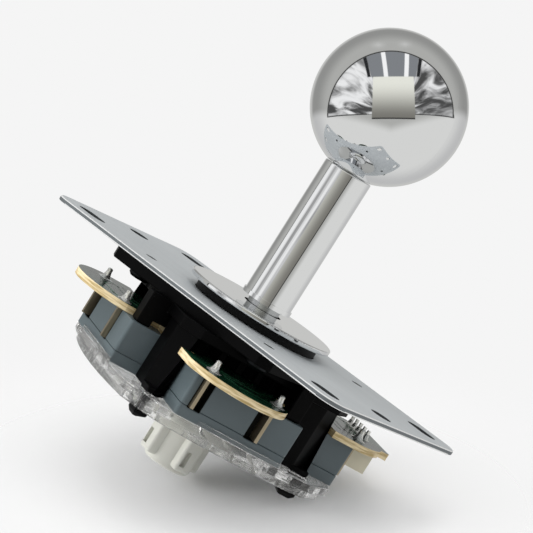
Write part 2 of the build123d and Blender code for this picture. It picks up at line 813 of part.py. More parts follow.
# Retaining clip: an open ring in the shaft's groove that holds the actuator up
with BuildPart() as retaining_clip:
    with BuildSketch(level(clip_top - clip_thick, body_turn)):
        Circle(clip_r)
        Circle(shaft_step_r + clip_clearance, mode=Mode.SUBTRACT)
        with PolarLocations(shaft_step_r + clip_clearance - clip_lobe_r / 2, 3):
            Circle(clip_lobe_r)
        Circle(clip_groove_r + shaft_fit, mode=Mode.SUBTRACT)
        with Locations((-clip_r / 2 - clip_groove_r / 2, 0)):
            Rectangle(clip_r, clip_slot, mode=Mode.SUBTRACT)
    extrude(amount=clip_thick)
write(retaining_clip.part, "retaining_clip")
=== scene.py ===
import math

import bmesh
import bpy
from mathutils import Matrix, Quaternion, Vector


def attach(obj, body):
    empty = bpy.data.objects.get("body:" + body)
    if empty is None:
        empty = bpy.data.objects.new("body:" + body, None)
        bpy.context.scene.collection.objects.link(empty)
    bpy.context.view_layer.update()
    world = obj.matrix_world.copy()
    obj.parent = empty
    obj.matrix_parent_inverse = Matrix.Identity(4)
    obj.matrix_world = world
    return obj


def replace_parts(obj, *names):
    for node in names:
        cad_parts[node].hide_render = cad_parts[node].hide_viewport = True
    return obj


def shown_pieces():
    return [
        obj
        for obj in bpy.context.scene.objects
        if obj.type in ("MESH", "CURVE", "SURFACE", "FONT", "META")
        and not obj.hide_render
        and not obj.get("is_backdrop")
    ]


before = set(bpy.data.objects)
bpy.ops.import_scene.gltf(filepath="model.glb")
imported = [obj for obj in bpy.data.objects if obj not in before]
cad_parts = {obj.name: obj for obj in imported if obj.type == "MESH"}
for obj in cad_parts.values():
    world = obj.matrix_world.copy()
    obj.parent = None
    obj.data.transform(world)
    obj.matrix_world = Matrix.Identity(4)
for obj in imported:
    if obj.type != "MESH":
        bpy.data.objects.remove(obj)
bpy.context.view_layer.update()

# %% [markdown]
# # An arcade joystick lever, dressed for its picture
# The imported model is a fixed frame: every solid is already in its place, in metres, with the origin
# at the centre of the mounting plate and +Z up the lever. This script gives each solid its finish,
# adds the small things that are easier to shape as meshes, and sets up the light and the camera.
# Nothing added later may change the object's size.

MM = 0.001

# %% [markdown]
# The lower block with its four switches stands turned against the plate. Its four sides are
# numbered from 0. A point beside one side is easiest to give as a distance straight out from the
# lever and a distance along that side, so one helper turns such a pair into a place in the frame.

# %% Places beside a switch
BODY_TURN = -29.0
SIDES = (0, 1, 2, 3)


def beside(side, out, along, height):
    """The place, in metres, of a point given in millimetres beside one of the four sides."""
    turn = math.radians(BODY_TURN + 90 * side)
    x = out * math.cos(turn) - along * math.sin(turn)
    y = out * math.sin(turn) + along * math.cos(turn)
    return Vector((x, y, height)) * MM


print("front switch face", [round(v / MM, 1) for v in beside(0, 29.0, 0, -16.2)])

# %% [markdown]
# ## Camera
# The picture was taken from a little above the plate with the camera rolled over, so that the
# lever leans to the right. The angle comes from the plate's corners, its holes, the shaft and the
# ball. A long lens keeps the plate's far edge almost as long as the near one.

# %% Camera
CAMERA_PLACE = Vector((327.3, -443.6, 60.8)) * MM
CAMERA_TARGET = Vector((-1.31, -5.27, 11.93)) * MM
CAMERA_ROLL = 32.2
LENS, SENSOR, PICTURE = 168.7, 36.0, 533

camera = bpy.data.objects.new("camera", bpy.data.cameras.new("camera"))
bpy.context.collection.objects.link(camera)
camera.data.sensor_width = SENSOR
camera.data.lens = LENS
camera.data.clip_start = 0.01
look = (CAMERA_TARGET - CAMERA_PLACE).normalized()
camera.rotation_mode = "QUATERNION"
camera.rotation_quaternion = (
    Quaternion(look, math.radians(-CAMERA_ROLL)) @ look.to_track_quat("-Z", "Y")
)
camera.location = CAMERA_PLACE
bpy.context.scene.camera = camera
bpy.context.view_layer.update()
CAMERA_RIGHT, CAMERA_UP, CAMERA_BACK = (c.copy() for c in camera.matrix_world.to_3x3().col)

# %% Where two points land in the picture
for name, point in (("plate centre", (0, 0, 0)), ("ball centre", (0, 0, 55.8))):
    offset = Vector(point) * MM - CAMERA_PLACE
    pixels_per_metre = PICTURE * LENS / SENSOR / -offset.dot(CAMERA_BACK)
    pixel_x = PICTURE / 2 + offset.dot(CAMERA_RIGHT) * pixels_per_metre
    pixel_y = PICTURE / 2 - offset.dot(CAMERA_UP) * pixels_per_metre
    print(name, "at pixel", round(pixel_x, 1), round(pixel_y, 1))

# %% [markdown]
# ## Finishes
# Every finish is one Principled shader, with a little maths in front of it: noise that stains,
# grain that bends the light, a mask that tells a board's cut edge from its lacquered face. Such
# maths is easier to read as an expression than as a pile of node calls, so a small class stands for
# a socket and turns + - * / into Math nodes.

# %% A wire that does maths
class Wire:
    """One value inside a finish; arithmetic on it adds Math nodes."""

    def __init__(self, graph, socket):
        self.graph = graph
        self.socket = socket

    def maths(self, operation, *values):
        return self.graph.node("ShaderNodeMath", {"operation": operation}, dict(enumerate(values)))

    def __add__(self, other):
        return self.maths("ADD", self, other)

    def __radd__(self, other):
        return self.maths("ADD", other, self)

    def __sub__(self, other):
        return self.maths("SUBTRACT", self, other)

    def __rsub__(self, other):
        return self.maths("SUBTRACT", other, self)

    def __mul__(self, other):
        return self.maths("MULTIPLY", self, other)

    def __rmul__(self, other):
        return self.maths("MULTIPLY", other, self)

    def __truediv__(self, other):
        return self.maths("DIVIDE", self, other)

    def __pow__(self, other):
        return self.maths("POWER", self, other)

    def above(self, limit):
        return self.maths("GREATER_THAN", self, limit)

    def size(self):
        return self.maths("ABSOLUTE", self)


print("a Wire turns + - * / and ** into Math nodes")

# %% Screen colours
def tone(code):
    """The linear colour of a screen colour such as 4F585D."""
    parts = [int(code[i : i + 2], 16) / 255 for i in (0, 2, 4)]
    return tuple(((p + 0.055) / 1.055) ** 2.4 if p > 0.04 else p / 12.92 for p in parts) + (1.0,)


print("a mid grey is", [round(part, 3) for part in tone("808080")])

# %% A node tree that is built by expressions
class Graph:
    """A node tree with one method that adds a node of any kind."""

    def __init__(self, tree):
        self.tree = tree

    def plug(self, socket, value):
        if isinstance(value, Wire):
            self.tree.links.new(value.socket, socket)
        else:
            socket.default_value = value

    def node(self, kind, settings, values, output=0):
        """Adds one node: its settings first, then the values or wires of its sockets."""
        made = self.tree.nodes.new(kind)
        for key, value in settings.items():
            setattr(made, key, value)
        for key, value in values.items():
            self.plug(made.inputs[key], value)
        return Wire(self, made.outputs[output])

    def mix(self, mask, low, high):
        """The low colour where the mask is 0 and the high one where it is 1.

        A Mix node's colours are its sockets 6 and 7, and its output 2.
        """
        return self.node("ShaderNodeMix", {"data_type": "RGBA"}, {0: mask, 6: low, 7: high}, 2)

    def smooth(self, value, start, end):
        """Rises softly from 0 at the start to 1 at the end."""
        ease = {"interpolation_type": "SMOOTHSTEP"}
        return self.node("ShaderNodeMapRange", ease, {0: value, 1: start, 2: end})


print("a Graph adds any node with one method")

# %% A finish and its helpers
class Finish(Graph):
    """A material with one Principled shader, and the helpers that feed it."""

    def __init__(self, name, **constants):
        self.material = bpy.data.materials.new(name)
        self.material.use_nodes = True
        super().__init__(self.material.node_tree)
        self.shader = self.tree.nodes["Principled BSDF"]
        self.feed(**constants)

    def feed(self, **values):
        """Sets or links sockets of the shader; base_color stands for Base Color."""
        for key, value in values.items():
            socket = key.replace("_", " ").title().replace("Ior", "IOR")
            self.plug(self.shader.inputs[socket], value)

    def place(self, stretch=(1, 1, 1)):
        """Object coordinates, stretched along each axis."""
        where = self.node("ShaderNodeTexCoord", {}, {}, "Object")
        return self.node("ShaderNodeMapping", {}, {"Vector": where, "Scale": stretch})

    def noise(self, scale, detail, **where):
        values = {"Vector": self.place(**where), "Scale": scale, "Detail": detail}
        return self.node("ShaderNodeTexNoise", {}, values)

    def relief(self, height, depth, strength=1.0):
        """Bends the light as if the surface rose by the height times a depth in millimetres."""
        values = {"Height": height, "Distance": depth * MM, "Strength": strength}
        self.feed(normal=self.node("ShaderNodeBump", {}, values))


def tell(*finishes):
    """Prints how many nodes each finish has."""
    for finish in finishes:
        print(finish.material.name, "has", len(finish.tree.nodes), "nodes")


print("a Finish is a Graph with a Principled shader")

# %% [markdown]
# ### Metals
# Chrome is almost a mirror: what makes it look real is what it reflects, and a trace of smears.
# The mounting plate is zinc-coated sheet with a rolled grain along its long side, so its noise is
# stretched along X. The same grain, finer, is in the strip that the terminals are stamped from.

# %% Chrome
chrome = Finish("chrome", base_color=tone("F0F1F2"), metallic=1.0)
smears = chrome.noise(60.0, 4.0)
chrome.feed(roughness=0.018 + smears * 0.035)
tell(chrome)

# %% [markdown]
# The plate was punched from the sheet, and its cut walls look different from its faces, because the
# light falls on them differently. A shader knows such walls by how little their normal points up.
# On the rim the wall gets painted shade, a dark band, under a painted highlight along the rounded
# edge, and inside the holes painted shade makes the wall nearly black, because no light gets there.

# %% Where the plate is cut, for its painted shade and painted highlight
PLATE_LENGTH, PLATE_WIDTH, RIM = 95.0, 53.0, 1.2
CORNER_SUM = 67.0
WALL_TILT, HOLE_TILT, FACE_TILT = 0.3, 0.5, 0.97
plate_steel = Finish("plate_steel", metallic=0.45)
where = plate_steel.place()
plate_x, plate_y = (
    plate_steel.node("ShaderNodeSeparateXYZ", {}, {0: where}, axis).size() for axis in "XY"
)
normal = plate_steel.node("ShaderNodeNewGeometry", {}, {}, "Normal")
tilt = plate_steel.node("ShaderNodeSeparateXYZ", {}, {0: normal}, "Z").size()
on_rim = plate_x.above((PLATE_LENGTH / 2 - RIM) * MM)
on_rim = on_rim.maths("MAXIMUM", on_rim, plate_y.above((PLATE_WIDTH / 2 - RIM) * MM))
on_rim = on_rim.maths("MAXIMUM", on_rim, (plate_x + plate_y).above(CORNER_SUM * MM))
painted_hole_shade = (1 - tilt.above(HOLE_TILT)) * (1 - on_rim)
painted_rim_shade = (1 - tilt.above(WALL_TILT)) * on_rim
painted_edge_highlight = tilt.above(WALL_TILT) * (1 - tilt.above(FACE_TILT)) * on_rim
tell(plate_steel)

# %% Plate steel
grain = plate_steel.noise(900.0, 4.0, stretch=(0.03, 1, 1))
clouds = plate_steel.noise(45.0, 3.0)
zinc_and_painted_edges = plate_steel.mix(grain * 0.5 + clouds * 0.5, tone("B6BCC0"), tone("E4E8EA"))
# Painted shade on the rim wall and inside the holes, and a painted highlight on the rounded edge.
zinc_and_painted_edges = plate_steel.mix(painted_rim_shade, zinc_and_painted_edges, tone("74797C"))
zinc_and_painted_edges = plate_steel.mix(painted_edge_highlight, zinc_and_painted_edges, tone("FBFCFC"))
plate_steel.feed(
    base_color=plate_steel.mix(painted_hole_shade, zinc_and_painted_edges, tone("36393B")), roughness=0.36 + clouds * 0.14
)
plate_steel.relief(grain, 0.02, 0.5)
tell(plate_steel)

# %% Plain steel of the shaft, the spring and the clip
bright_steel = Finish("bright_steel", metallic=1.0)
drawn = bright_steel.noise(1400.0, 2.0, stretch=(1, 1, 0.05))
bright_steel.feed(
    base_color=bright_steel.mix(drawn, tone("A3A6A8"), tone("D2D4D5")),
    roughness=0.2 + drawn * 0.12,
)
tell(bright_steel)

# %% Blackened steel of the plate screws
black_steel = Finish("black_steel", metallic=0.9)
oxide = black_steel.noise(700.0, 3.0)
black_steel.feed(
    base_color=black_steel.mix(oxide, tone("1C1D1F"), tone("303234")),
    roughness=0.38 + oxide * 0.15,
)
tell(black_steel)

# %% Brass strip of the terminals
terminal_brass = Finish("terminal_brass", metallic=0.9)
rolled = terminal_brass.noise(1600.0, 3.0, stretch=(1, 1, 0.1))
terminal_brass.feed(
    base_color=terminal_brass.mix(rolled, tone("8E8068"), tone("C9BCA3")),
    roughness=0.32 + rolled * 0.15,
)
tell(terminal_brass)

# %% Tin of the solder and the header's pins
tin = Finish("tin", metallic=0.75, base_color=tone("F0F0EC"))
ripples = tin.noise(2500.0, 2.0)
tin.feed(roughness=0.16 + ripples * 0.14)
tin.relief(ripples, 0.05, 0.5)
tell(tin)

# %% [markdown]
# ### Plastics
# Moulded plastic is never one flat colour. A fine grain in the bump breaks up the highlights, and
# a slow drift in colour and gloss stands for wear, dust and flow marks.

# %% Moulded plastics
GRAIN_SCALE = 1500.0


def moulded(name, dark, light, gloss, grain_depth):
    """A plastic between two close colours, with a base roughness and a fine moulded grain."""
    finish = Finish(name)
    drift = finish.noise(70.0, 3.0)
    texture = finish.noise(GRAIN_SCALE, 3.0)
    colour = finish.mix(drift, tone(dark), tone(light))
    finish.feed(base_color=colour, roughness=gloss + drift * 0.12)
    finish.relief(texture, grain_depth)
    return finish


black_nylon = moulded("black_nylon", "030303", "0A0A0B", 0.34, 0.02)
black_nylon.feed(specular_ior_level=0.06)
seal_black = moulded("seal_black", "101011", "19191A", 0.45, 0.02)
seal_black.feed(specular_ior_level=0.12)
switch_grey = moulded("switch_grey", "4F5A5E", "606C70", 0.36, 0.02)
# A near-black finish for painted shade: it lines the terminal pockets.
painted_pocket_shade = moulded("painted_pocket_shade", "0B0B08", "1A1A14", 0.5, 0.02)
painted_pocket_shade.feed(specular_ior_level=0.15)
ivory = moulded("ivory", "CFCFC6", "E0E0D8", 0.3, 0.015)
pivot_white = moulded("pivot_white", "DEDEDA", "EAEAE6", 0.25, 0.01)
header_cream = moulded("header_cream", "DAD2B8", "E9E2CC", 0.35, 0.015)
tell(black_nylon, seal_black, switch_grey, painted_pocket_shade, ivory, pivot_white, header_cream)

# %% Clear plastic of the gate
clear_plastic = Finish(
    "clear_plastic", base_color=tone("FAFAF9"), transmission_weight=1.0, ior=1.49, alpha=0.8
)
haze = clear_plastic.noise(90.0, 2.0)
clear_plastic.feed(roughness=haze * 0.015)
tell(clear_plastic)

# %% [markdown]
# ### Circuit board
# The board is a sandwich: tan glass fibre with green lacquer on both faces. The cut edge shows the
# layers of the fibre. One mask does it: where the surface points up or down it is lacquer, and
# elsewhere it is the sawn edge.

# %% Board
FACE_UP = 0.7
board = Finish("board")
facing = board.node("ShaderNodeNewGeometry", {}, {}, "Normal")
upright = board.node("ShaderNodeSeparateXYZ", {}, {0: facing}, "Z").size().above(FACE_UP)
layers = board.noise(1200.0, 3.0, stretch=(0.15, 0.15, 1.6))
tan_edge = board.mix(board.smooth(layers, 0.3, 0.7), tone("B49C68"), tone("F6E4BC"))
copper = board.noise(110.0, 1.0).above(0.52)
green = board.mix(copper, tone("0E2A1D"), tone("17402B"))
board.feed(base_color=board.mix(upright, tan_edge, green), roughness=0.62 - upright * 0.42)
board.feed(specular_ior_level=0.3)
board.relief(layers * (1 - upright) + copper * upright * 0.4, 0.06)
track_green = moulded("track_green", "1F5238", "2C6A48", 0.2, 0.01)
tell(board, track_green)

# %% Give the solids their finishes
FINISHES = {
    "mounting_plate": plate_steel,
    "plate_screws": black_steel,
    "body_housing": black_nylon,
    "circuit_board": board,
    "solder_joints": tin,
    "connector_header": header_cream,
    "connector_pins": tin,
    "restrictor_gate": clear_plastic,
    "centering_spring": bright_steel,
    "lever_shaft": bright_steel,
    "ball_top": chrome,
    "spherical_pivot": pivot_white,
    "spring_seat": ivory,
    "actuator": ivory,
    "retaining_clip": bright_steel,
    "shaft_cover": chrome,
    "seal_ring": seal_black,
    "dust_washer": chrome,
}
SWITCH_FINISHES = {
    "case": switch_grey, "cover": switch_grey, "terminals": terminal_brass, "plunger": ivory
}
for side in SIDES:
    for part, finish in SWITCH_FINISHES.items():
        FINISHES[f"switch_{side + 1}_{part}"] = finish
for node, finish in FINISHES.items():
    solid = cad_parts[node]
    solid.data.materials.clear()
    solid.data.materials.append(finish.material)
print("finished solids:", len(FINISHES), "of", len(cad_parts))

# %% [markdown]
# ## Small things made as meshes
# Some details are easier as meshes than as solids. Each starts as a bmesh, is closed into an
# object at the origin, and rides on the body that carries it. Two shapes come up again and again:
# an outline spun round an upright axis, and a box that is turned and put in its place.

# %% From a bmesh to a piece
MERGE_GAP = 0.001 * MM


def add_piece(name, mesh, finish, body):
    """Makes the object of a bmesh and lets it ride on a body."""
    data = bpy.data.meshes.new(name)
    mesh.to_mesh(data)
    mesh.free()
    data.materials.append(finish.material)
    made = bpy.data.objects.new(name, data)
    bpy.context.collection.objects.link(made)
    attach(made, body)
    print(name, "has", len(data.polygons), "faces")
    return made


def close_piece(name, mesh, finish, body):
    """Merges doubles and turns the faces outwards before the object is made."""
    bmesh.ops.remove_doubles(mesh, verts=mesh.verts, dist=MERGE_GAP)
    bmesh.ops.recalc_face_normals(mesh, faces=mesh.faces)
    return add_piece(name, mesh, finish, body)


# %% Two shapes that come up again
def spin_outline(mesh, centre, outline, steps):
    """Spins (radius, height) pairs, in millimetres from the centre, round an upright axis."""
    points = (centre + Vector((radius, 0, height)) * MM for radius, height in outline)
    chain = [mesh.verts.new(point) for point in points]
    edges = [mesh.edges.new(pair) for pair in zip(chain, chain[1:])]
    turn = {"cent": centre, "axis": (0, 0, 1), "dvec": (0, 0, 0), "angle": math.tau}
    bmesh.ops.spin(mesh, geom=chain + edges, steps=steps, use_merge=True, **turn)


def turned_box(mesh, middle, turn, size):
    """Adds a box, turned about Z and then put at its middle, and returns its corners."""
    turned = Matrix.Translation(middle) @ Matrix.Rotation(turn, 4, "Z")
    place = turned @ Matrix.Diagonal((*size, 1.0))
    return bmesh.ops.create_cube(mesh, size=1.0, matrix=place)["verts"]


print("points closer than", MERGE_GAP / MM, "mm are merged")

# %% [markdown]
# ### Rounded edges
# Nothing moulded has a knife edge. Light runs along a rounded edge as a thin bright line, and that
# line tells the eye where one face ends. So the moulded solids get copies: the loose triangles are
# merged, flat areas become single faces, and every sharp edge is bevelled by a hair. The plate
# gets one too: a die leaves its edge rounded, and a painted highlight in its finish makes it shine
# along its whole length. Here the bevel may not clamp its width, because one tight corner would
# then thin all the other edges.

# %% Copies with rounded edges
SHARP, FLAT = math.radians(30), math.radians(0.5)
SOLID_GAP = 0.002 * MM


def soften(node, width, body):
    """Stands a copy with rounded edges in the place of a solid."""
    mesh = bmesh.new()
    mesh.from_mesh(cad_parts[node].data)
    bmesh.ops.remove_doubles(mesh, verts=mesh.verts, dist=SOLID_GAP)
    bmesh.ops.dissolve_limit(mesh, angle_limit=FLAT, verts=mesh.verts, edges=mesh.edges)
    sharp = [edge for edge in mesh.edges if edge.is_manifold and edge.calc_face_angle() > SHARP]
    rounding = {"offset": width * MM, "offset_type": "OFFSET", "segments": 2, "profile": 0.5}
    bmesh.ops.bevel(mesh, geom=sharp, affect="EDGES", material=-1, clamp_overlap=False, **rounding)
    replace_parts(add_piece(f"soft_{node}", mesh, FINISHES[node], body), node)


soften("restrictor_gate", 0.2, "housing")
soften("body_housing", 0.2, "housing")
soften("mounting_plate", 0.3, "housing")
for side in SIDES:
    for part in ("case", "cover"):
        soften(f"switch_{side + 1}_{part}", 0.2, "housing")

# %% [markdown]
# The centring spring gets such a copy too. It is held between the pivot and its seat, and both of
# them tilt with the lever, so its copy rides on the lever.

# %% The spring between pivot and seat
soften("centering_spring", 0.1, "lever")

# %% [markdown]
# ### Actuator
# The white actuator under the lever is a cup on a round foot. Four lobes on the foot stop against
# the gate, each with a slot in its face. The cup and the foot are one outline spun round the lever.
# A lobe is a cube: bevelled edges first, then four cuts mark the slot, and its face is pushed in.

# %% Cup and foot
CUP_OUTLINE = (
    (7.3, -14.4), (7.3, -25.5), (3.05, -25.5), (3.05, -36.1), (4.7, -36.1), (4.7, -37.89),
    (5.1, -37.89), (5.5, -37.5), (5.5, -27.2), (5.9, -26.8), (8.3, -26.8), (8.6, -26.5),
    (8.6, -20.5), (10.2, -18.4), (10.4, -18.0), (10.4, -14.6), (10.2, -14.4), (7.3, -14.4),
)
CUP_STEPS = 64
actuator_mesh = bmesh.new()
spin_outline(actuator_mesh, Vector((0, 0, 0)), CUP_OUTLINE, CUP_STEPS)
print("cup and foot have", len(actuator_mesh.faces), "faces")

# %% One lobe of the foot
LOBE_SIZE, LOBE_EDGE = Vector((3.2, 4.4, 9.6)), 0.7
SLOT_CUTS = ((-1.5, (0, 1, 0)), (-0.1, (0, 1, 0)), (-3.5, (0, 0, 1)), (0.2, (0, 0, 1)))
SLOT_MIDDLE = Vector((LOBE_SIZE.x / 2, -0.8, -1.65))
SLOT_DEPTH = 1.3


def slotted_lobe():
    """A rounded block, in millimetres about its own middle, with a slot in its +X face."""
    block = bmesh.new()
    turned_box(block, Vector((0, 0, 0)), 0.0, LOBE_SIZE)
    rounding = {"offset": LOBE_EDGE, "offset_type": "OFFSET", "segments": 3, "profile": 0.5}
    bmesh.ops.bevel(
        block, geom=block.edges, affect="EDGES", material=-1, clamp_overlap=True, **rounding
    )
    for place, direction in SLOT_CUTS:
        everything = block.verts[:] + block.edges[:] + block.faces[:]
        cut = {"plane_co": Vector(direction) * place, "plane_no": direction}
        bmesh.ops.bisect_plane(block, geom=everything, **cut)
    mouth = min(block.faces, key=lambda face: (face.calc_center_median() - SLOT_MIDDLE).length)
    pushed = bmesh.ops.extrude_face_region(block, geom=[mouth])
    corners = [item for item in pushed["geom"] if isinstance(item, bmesh.types.BMVert)]
    bmesh.ops.delete(block, geom=[mouth], context="FACES_ONLY")
    bmesh.ops.translate(block, verts=corners, vec=(-SLOT_DEPTH, 0, 0))
    return block


print("a lobe is", [round(v, 1) for v in LOBE_SIZE], "mm, its slot", SLOT_DEPTH, "mm deep")

# %% Four lobes round the foot
LOBE_TURN, LOBE_MIDDLE = -19.0, Vector((5.7, 0.0, -32.0))
TO_METRES = Matrix.Diagonal((MM, MM, MM, 1.0))
for side in SIDES:
    lobe_mesh = slotted_lobe()
    turn = Matrix.Rotation(math.radians(LOBE_TURN + 90 * side), 4, "Z")
    place = TO_METRES @ (turn @ Matrix.Translation(LOBE_MIDDLE))
    bmesh.ops.transform(lobe_mesh, verts=lobe_mesh.verts, matrix=place)
    lobe = bpy.data.meshes.new("lobe")
    lobe_mesh.to_mesh(lobe)
    lobe_mesh.free()
    actuator_mesh.from_mesh(lobe)
    bpy.data.meshes.remove(lobe)
lobed_actuator = close_piece("lobed_actuator", actuator_mesh, ivory, "lever")
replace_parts(lobed_actuator, "actuator")

# %% [markdown]
# ### Solder
# Molten solder climbs the pin and spreads over its copper pad, so a joint is a hollow-sided cone
# on a thin disc, and a switch's flat pin is tinned right over its tip. Half of a joint's outline,
# drawn as a short chain of edges, is spun once round the pin.

# %% Where the pins come through the board
BOARD_TOP = -9.9
PIN_OUT, PIN_ALONG = 29.6, (-15.3, 1.5)
HEADER_SIDE, HEADER_OUT, HEADER_MIDDLE, HEADER_PITCH = 1, 33.6, -5.5, 2.5
SWITCH_PINS = tuple((side, PIN_OUT, along) for side in SIDES for along in PIN_ALONG)
HEADER_PINS = tuple(
    (HEADER_SIDE, HEADER_OUT, HEADER_MIDDLE + HEADER_PITCH * step) for step in (-2, -1, 0, 1, 2)
)
print(len(SWITCH_PINS), "pins of the switches and", len(HEADER_PINS), "of the connector")

# %% Solder joints
WIDE_JOINT = (
    (0, 0), (1.85, 0), (1.8, 0.05), (1.45, 0.1), (1.15, 0.3),
    (0.86, 0.75), (0.7, 1.3), (0.6, 1.8), (0.58, 2.3), (0.4, 2.5), (0, 2.55),
)
SLIM_JOINT = (
    (0, 0), (1.15, 0), (1.1, 0.05), (0.9, 0.15), (0.65, 0.5), (0.52, 1.0), (0.4, 1.3), (0, 1.4),
)
JOINT_STEPS = 24
solder_mesh = bmesh.new()
for pins, outline in ((SWITCH_PINS, WIDE_JOINT), (HEADER_PINS, SLIM_JOINT)):
    for side, out, along in pins:
        spin_outline(solder_mesh, beside(side, out, along, BOARD_TOP), outline, JOINT_STEPS)
solder_domes = close_piece("solder_domes", solder_mesh, tin, "housing")
for face in solder_domes.data.polygons:
    face.use_smooth = True
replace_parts(solder_domes, "solder_joints")

# %% [markdown]
# ### Copper tracks
# Under the lacquer the copper stands up a little, so each track shows as a raised, lighter line. A
# track is a chain of flat bars between bends, and each bar is a stretched cube.

# %% Tracks on the board
TRACK_WIDTH, TRACK_RISE = 0.7, 0.06
BENDS = (
    ((29.6, -15.3), (27.0, -12.5), (27.0, -3.0), (21.5, 3.0)),
    ((29.6, 1.5), (31.5, -1.5), (31.5, -9.5), (29.0, -12.0)),
    ((24.8, -14.5), (24.8, -6.0), (19.5, -1.0)),
)
track_mesh = bmesh.new()
for side in SIDES:
    for bends in BENDS:
        for start, end in zip(bends, bends[1:]):
            here, there = (beside(side, *point, BOARD_TOP) for point in (start, end))
            run = there - here
            bar = (run.length + TRACK_WIDTH * MM, TRACK_WIDTH * MM, TRACK_RISE * MM)
            turned_box(track_mesh, (here + there) / 2, math.atan2(run.y, run.x), bar)
close_piece("board_tracks", track_mesh, track_green, "housing")

# %% [markdown]
# ### Terminal pockets
# The terminals stand in open pockets of the switches, and the pockets lie in shade and look almost
# black inside. A thin dark lining paints that shade: a cube as large as the pocket loses its front
# and its top, and what is left gets a wall.

# %% Dark linings that paint the shade in the terminal pockets
POCKET, POCKET_WALL = Vector((2.3, 3.1, 7.7)), 0.04
POCKET_OUT, POCKET_ALONG, POCKET_HEIGHT = 27.8, (-14.3, 0.5), -15.5
SAME_WAY = 0.9
# Each lining is a dark sheet of painted shade inside a pocket.
pocket_shade_mesh = bmesh.new()
for side in SIDES:
    outward = (beside(side, 1, 0, 0) - beside(side, 0, 0, 0)).normalized()
    turn = math.radians(BODY_TURN + 90 * side)
    for along in POCKET_ALONG:
        middle = beside(side, POCKET_OUT, along, POCKET_HEIGHT)
        corners = turned_box(pocket_shade_mesh, middle, turn, POCKET * MM)
        pocket_shade_mesh.normal_update()
        faces = {face for corner in corners for face in corner.link_faces}
        open_faces = [f for f in faces if max(f.normal.dot(outward), f.normal.z) > SAME_WAY]
        bmesh.ops.delete(pocket_shade_mesh, geom=open_faces, context="FACES")
bmesh.ops.solidify(pocket_shade_mesh, geom=pocket_shade_mesh.faces, thickness=POCKET_WALL * MM)
close_piece("pocket_shade_linings", pocket_shade_mesh, painted_pocket_shade, "housing")

# %% [markdown]
# ## Studio
# The lever lies on a pale floor, on its foot and two of its hooks. The floor's normal was worked
# out from those points. The floor shows only from above, and it fades out round the middle of the
# shadow, a little to the right of the foot, so that no edge of it is seen. Mirrored rays miss it:
# the chrome has a table of its own to show.

# %% Floor
FLOOR_UP = Vector((-0.242, -0.436, 0.867)).normalized()
FOOT_BOTTOM = Vector((0, 0, -37.9)) * MM
SHADOW_SHIFT, FLOOR_GAP = 18.0 * MM, 0.2 * MM
floor_height = min(
    (o.matrix_world @ v.co).dot(FLOOR_UP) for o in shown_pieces() for v in o.data.vertices
)
floor_mesh = bmesh.new()
bmesh.ops.create_grid(floor_mesh, x_segments=1, y_segments=1, size=1.0)
floor_data = bpy.data.meshes.new("floor")
floor_mesh.to_mesh(floor_data)
floor_mesh.free()
floor = bpy.data.objects.new("floor", floor_data)
bpy.context.collection.objects.link(floor)
floor.rotation_mode = "QUATERNION"
floor.rotation_quaternion = FLOOR_UP.to_track_quat("Z", "Y")
shadow = FOOT_BOTTOM + CAMERA_RIGHT * SHADOW_SHIFT
floor.location = shadow - FLOOR_UP * (shadow.dot(FLOOR_UP) - floor_height + FLOOR_GAP)
floor.visible_glossy = False
floor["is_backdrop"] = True
print("floor under the lowest point", round(floor_height / MM, 1), "mm along its normal")

# %% Floor finish
FADE_START, FADE_END = 0.012, 0.11
floor_white = Finish("floor_white", roughness=0.9, specular_ior_level=0.0)
floor_white.feed(base_color=tone("F6F6F6"))
across = floor_white.node("ShaderNodeTexCoord", {}, {}, "Object")
reach = floor_white.node("ShaderNodeVectorMath", {"operation": "LENGTH"}, {0: across}, "Value")
fade = floor_white.smooth(reach, FADE_START, FADE_END) ** 0.5
under = floor_white.node("ShaderNodeNewGeometry", {}, {}, "Backfacing")
gone = fade.maths("MAXIMUM", fade, under)
nothing = floor_white.node("ShaderNodeBsdfTransparent", {}, {})
surface = Wire(floor_white, floor_white.shader.outputs[0])
mixed = floor_white.node("ShaderNodeMixShader", {}, {0: gone, 1: surface, 2: nothing})
floor_white.plug(floor_white.tree.nodes["Material Output"].inputs["Surface"], mixed)
floor.data.materials.append(floor_white.material)
tell(floor_white)

# %% [markdown]
# ### What the chrome sees
# A chrome ball shows the whole studio, so the studio is most of its look. Here it is a light tent:
# grey cloth overhead, a pale table below, and towards the camera a half-round opening with a wired
# edge. Inside it hang two crumpled silver sheets, with two white light strips above a cream wall.
# The world shader draws it from the direction of a ray. A direction is first turned into the point
# where a mirror ball would show it, in ball radii from its middle, because there every shape of the
# tent is easy to measure. Only mirrored rays see the tent. The camera and the clear gate see a
# plain pale backdrop, and every other ray meets an even grey.

# %% Where a mirror ball shows a direction
world = bpy.data.worlds.new("studio")
bpy.context.scene.world = world
world.use_nodes = True
tent = Graph(world.node_tree)
ray = tent.node("ShaderNodeTexCoord", {}, {}, "Generated")
ray_right, ray_up, ray_back = (
    tent.node("ShaderNodeVectorMath", {"operation": "DOT_PRODUCT"}, {0: ray, 1: axis}, "Value")
    for axis in (CAMERA_RIGHT, CAMERA_UP, CAMERA_BACK)
)
NEARLY_ONE = 1.000001
shrink = ((ray_back + NEARLY_ONE) * 2.0) ** 0.5
ball_x = ray_right / shrink
ball_y = ray_up / shrink
ball_r = (ball_x * ball_x + ball_y * ball_y) ** 0.5
print("nodes so far:", len(tent.tree.nodes))

# %% [markdown]
# A mask is 1 where a shape is and 0 elsewhere. Most shapes here are strips: 1 within half a width
# of a line, with soft edges. Places and widths are in ball radii.

# %% The opening and its wire
OPENING_R, OPENING_FLOOR, EDGE = 0.785, -0.11, 0.012


